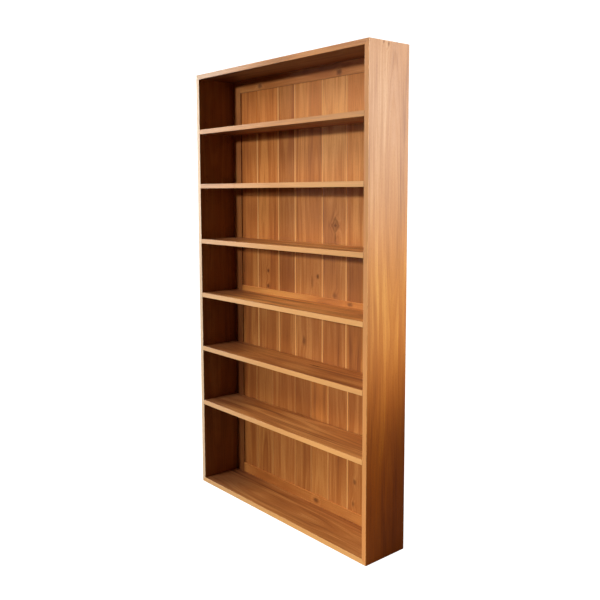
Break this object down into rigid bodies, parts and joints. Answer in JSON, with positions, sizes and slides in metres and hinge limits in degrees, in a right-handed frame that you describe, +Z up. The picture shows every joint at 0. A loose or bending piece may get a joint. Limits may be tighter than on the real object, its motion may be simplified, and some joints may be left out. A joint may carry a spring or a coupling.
{
  "type": "bookcase with adjustable shelves",
  "caption": "Tall narrow-edged wooden bookcase with an open front, loose shelves resting on small steel pins in the sides, and a framed back of upright tongued boards.",
  "frame": {"origin": "middle of the footprint, on the floor", "axes": "+Z up, the open front faces -Y, +X to the right as seen from the front"},
  "size_m": [1.2, 0.24, 2.15],
  "materials": {
    "teak_case": "satin oiled teak, upright grain on the sides, grain along the top and bottom",
    "teak_shelf": "satin oiled teak, grain along the shelf",
    "teak_frame": "satin oiled teak",
    "teak_board": "satin oiled teak, upright grain, knots",
    "spline_wood": "raw hardwood, hidden in the mitres",
    "pin_steel": "nickel-plated steel",
    "screw_steel": "zinc-plated steel"
  },
  "bodies": {
    "case": {"back_screws": "screw_steel", "bottom_board": "teak_case", "bottom_rail": "teak_frame", "hidden_rail": "teak_frame", "lower_board_1": "teak_board", "lower_board_2": "teak_board", "lower_board_3": "teak_board", "lower_board_4": "teak_board", "lower_board_5": "teak_board", "lower_board_6": "teak_board", "lower_board_7": "teak_board", "lower_board_8": "teak_board", "mid_rail": "teak_frame", "middle_board_1": "teak_board", "middle_board_2": "teak_board", "middle_board_3": "teak_board", "middle_board_4": "teak_board", "middle_board_5": "teak_board", "middle_board_6": "teak_board", "middle_board_7": "teak_board", "mitre_spline_bottom_left": "spline_wood", "mitre_spline_bottom_right": "spline_wood", "mitre_spline_top_left": "spline_wood", "mitre_spline_top_right": "spline_wood", "side_left": "teak_case", "side_right": "teak_case", "stile_left": "teak_frame", "stile_right": "teak_frame", "top_board": "teak_case", "top_rail": "teak_frame", "upper_board_1": "teak_board", "upper_board_2": "teak_board", "upper_board_3": "teak_board", "upper_board_4": "teak_board", "upper_board_5": "teak_board", "upper_board_6": "teak_board", "upper_board_7": "teak_board"},
    "shelf_1": {"shelf_1": "teak_shelf"},
    "shelf_1_pins_left": {"shelf_1_pins_left": "pin_steel"},
    "shelf_1_pins_right": {"shelf_1_pins_right": "pin_steel"},
    "shelf_2": {"shelf_2": "teak_shelf"},
    "shelf_2_pins_left": {"shelf_2_pins_left": "pin_steel"},
    "shelf_2_pins_right": {"shelf_2_pins_right": "pin_steel"},
    "shelf_3": {"shelf_3": "teak_shelf"},
    "shelf_3_pins_left": {"shelf_3_pins_left": "pin_steel"},
    "shelf_3_pins_right": {"shelf_3_pins_right": "pin_steel"},
    "shelf_4": {"shelf_4": "teak_shelf"},
    "shelf_4_pins_left": {"shelf_4_pins_left": "pin_steel"},
    "shelf_4_pins_right": {"shelf_4_pins_right": "pin_steel"},
    "shelf_5": {"shelf_5": "teak_shelf"},
    "shelf_5_pins_left": {"shelf_5_pins_left": "pin_steel"},
    "shelf_5_pins_right": {"shelf_5_pins_right": "pin_steel"},
    "shelf_6": {"shelf_6": "teak_shelf"},
    "shelf_6_pins_left": {"shelf_6_pins_left": "pin_steel"},
    "shelf_6_pins_right": {"shelf_6_pins_right": "pin_steel"}
  },
  "joints": [
    {"name": "shelf_1_lift", "type": "slide", "parent": "case", "child": "shelf_1", "axis": [0, 0, 1], "range_m": [0, 0.252]},
    {"name": "shelf_2_lift", "type": "slide", "parent": "case", "child": "shelf_2", "axis": [0, 0, 1], "range_m": [0, 0.244]},
    {"name": "shelf_3_lift", "type": "slide", "parent": "case", "child": "shelf_3", "axis": [0, 0, 1], "range_m": [0, 0.252]},
    {"name": "shelf_4_lift", "type": "slide", "parent": "case", "child": "shelf_4", "axis": [0, 0, 1], "range_m": [0, 0.249]},
    {"name": "shelf_5_lift", "type": "slide", "parent": "case", "child": "shelf_5", "axis": [0, 0, 1], "range_m": [0, 0.252]},
    {"name": "shelf_6_lift", "type": "slide", "parent": "case", "child": "shelf_6", "axis": [0, 0, 1], "range_m": [0, 0.26]},
    {"name": "shelf_1_pins_left_pull", "type": "slide", "parent": "case", "child": "shelf_1_pins_left", "axis": [1, 0, 0], "range_m": [0, 0.012]},
    {"name": "shelf_1_pins_right_pull", "type": "slide", "parent": "case", "child": "shelf_1_pins_right", "axis": [-1, 0, 0], "range_m": [0, 0.012]},
    {"name": "shelf_2_pins_left_pull", "type": "slide", "parent": "case", "child": "shelf_2_pins_left", "axis": [1, 0, 0], "range_m": [0, 0.012]},
    {"name": "shelf_2_pins_right_pull", "type": "slide", "parent": "case", "child": "shelf_2_pins_right", "axis": [-1, 0, 0], "range_m": [0, 0.012]},
    {"name": "shelf_3_pins_left_pull", "type": "slide", "parent": "case", "child": "shelf_3_pins_left", "axis": [1, 0, 0], "range_m": [0, 0.012]},
    {"name": "shelf_3_pins_right_pull", "type": "slide", "parent": "case", "child": "shelf_3_pins_right", "axis": [-1, 0, 0], "range_m": [0, 0.012]},
    {"name": "shelf_4_pins_left_pull", "type": "slide", "parent": "case", "child": "shelf_4_pins_left", "axis": [1, 0, 0], "range_m": [0, 0.012]},
    {"name": "shelf_4_pins_right_pull", "type": "slide", "parent": "case", "child": "shelf_4_pins_right", "axis": [-1, 0, 0], "range_m": [0, 0.012]},
    {"name": "shelf_5_pins_left_pull", "type": "slide", "parent": "case", "child": "shelf_5_pins_left", "axis": [1, 0, 0], "range_m": [0, 0.012]},
    {"name": "shelf_5_pins_right_pull", "type": "slide", "parent": "case", "child": "shelf_5_pins_right", "axis": [-1, 0, 0], "range_m": [0, 0.012]},
    {"name": "shelf_6_pins_left_pull", "type": "slide", "parent": "case", "child": "shelf_6_pins_left", "axis": [1, 0, 0], "range_m": [0, 0.012]},
    {"name": "shelf_6_pins_right_pull", "type": "slide", "parent": "case", "child": "shelf_6_pins_right", "axis": [-1, 0, 0], "range_m": [0, 0.012]}
  ],
  "couplings": [
    {"joint": "shelf_1_pins_right_pull", "follows": "shelf_1_pins_left_pull", "ratio": 1},
    {"joint": "shelf_2_pins_right_pull", "follows": "shelf_2_pins_left_pull", "ratio": 1},
    {"joint": "shelf_3_pins_right_pull", "follows": "shelf_3_pins_left_pull", "ratio": 1},
    {"joint": "shelf_4_pins_right_pull", "follows": "shelf_4_pins_left_pull", "ratio": 1},
    {"joint": "shelf_5_pins_right_pull", "follows": "shelf_5_pins_left_pull", "ratio": 1},
    {"joint": "shelf_6_pins_right_pull", "follows": "shelf_6_pins_left_pull", "ratio": 1}
  ]
}
